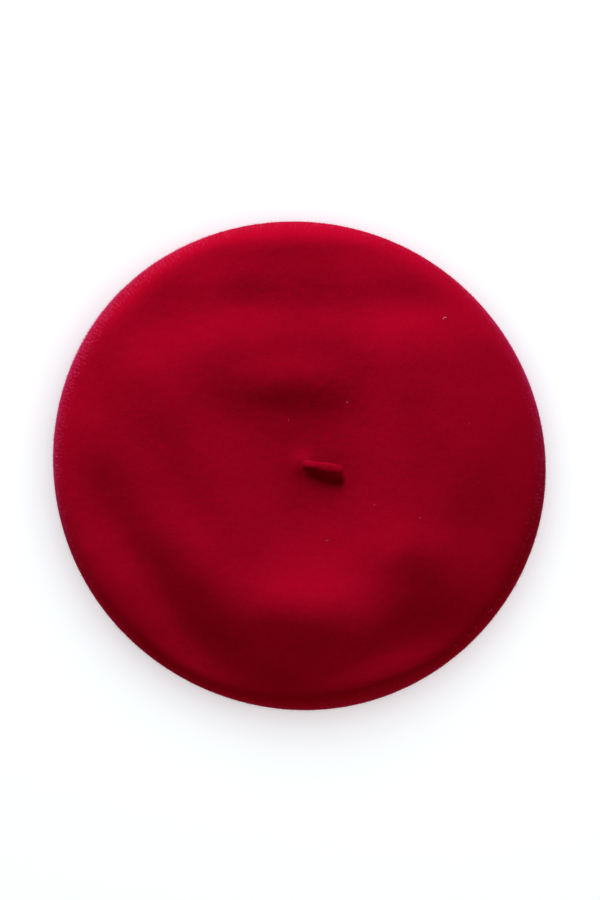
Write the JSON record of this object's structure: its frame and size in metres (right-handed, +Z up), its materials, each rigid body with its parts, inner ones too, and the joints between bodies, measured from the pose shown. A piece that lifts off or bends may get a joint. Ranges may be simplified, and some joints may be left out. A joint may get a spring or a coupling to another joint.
{
  "type": "beret",
  "caption": "Round red wool felt beret with a dished crown, a rolled rim and a short leaning stalk; lined inside, with a leather band and a small ribbon bow in the head opening.",
  "frame": {"origin": "on the surface the cap lies on, crown up, under the middle of its outline", "axes": "+Z up out of the crown, -Y to the back of the cap, where the band is joined, +X to its right as seen from above with the back below"},
  "size_m": [0.2799, 0.28, 0.047],
  "materials": {
    "felt": "fulled wool, short soft nap",
    "satin": "satin weave, soft sheen",
    "leather": "smooth, slightly worn",
    "thread": "twisted cotton",
    "ribbon": "ribbed grosgrain",
    "label": "woven satin tape"
  },
  "bodies": {
    "cap": {"felt_body": "felt", "stalk_root": "felt", "stalk_stitches": "thread", "lining_top": "satin", "lining_side": "satin", "lining_seam": "thread", "sweatband": "leather", "sweatband_joint": "leather", "sweatband_stitches": "thread", "bow_loops": "ribbon", "bow_knot": "ribbon", "bow_tails": "ribbon", "maker_label": "label", "maker_label_stitches": "thread", "label_stitches": "thread"},
    "stalk": {"stalk": "felt"},
    "size_label": {"size_label": "label"},
    "care_label": {"care_label": "label"}
  },
  "joints": [
    {"name": "stalk_lean", "type": "hinge", "parent": "cap", "child": "stalk", "pos_m": [0.003, 0.001, 0.0405], "axis": [0.1736, 0.9848, 0], "range_deg": [-164, 4], "stiffness_Nm_per_rad": 0.0004},
    {"name": "size_label_swing", "type": "hinge", "parent": "cap", "child": "size_label", "pos_m": [-0.05208, -0.07438, 0.04045], "axis": [0.8192, -0.5736, 0], "range_deg": [-75, 75]},
    {"name": "care_label_swing", "type": "hinge", "parent": "cap", "child": "care_label", "pos_m": [0.03318, -0.09115, 0.03982], "axis": [0.3341, -0.9179, -0.2143], "range_deg": [-70, 70]}
  ]
}
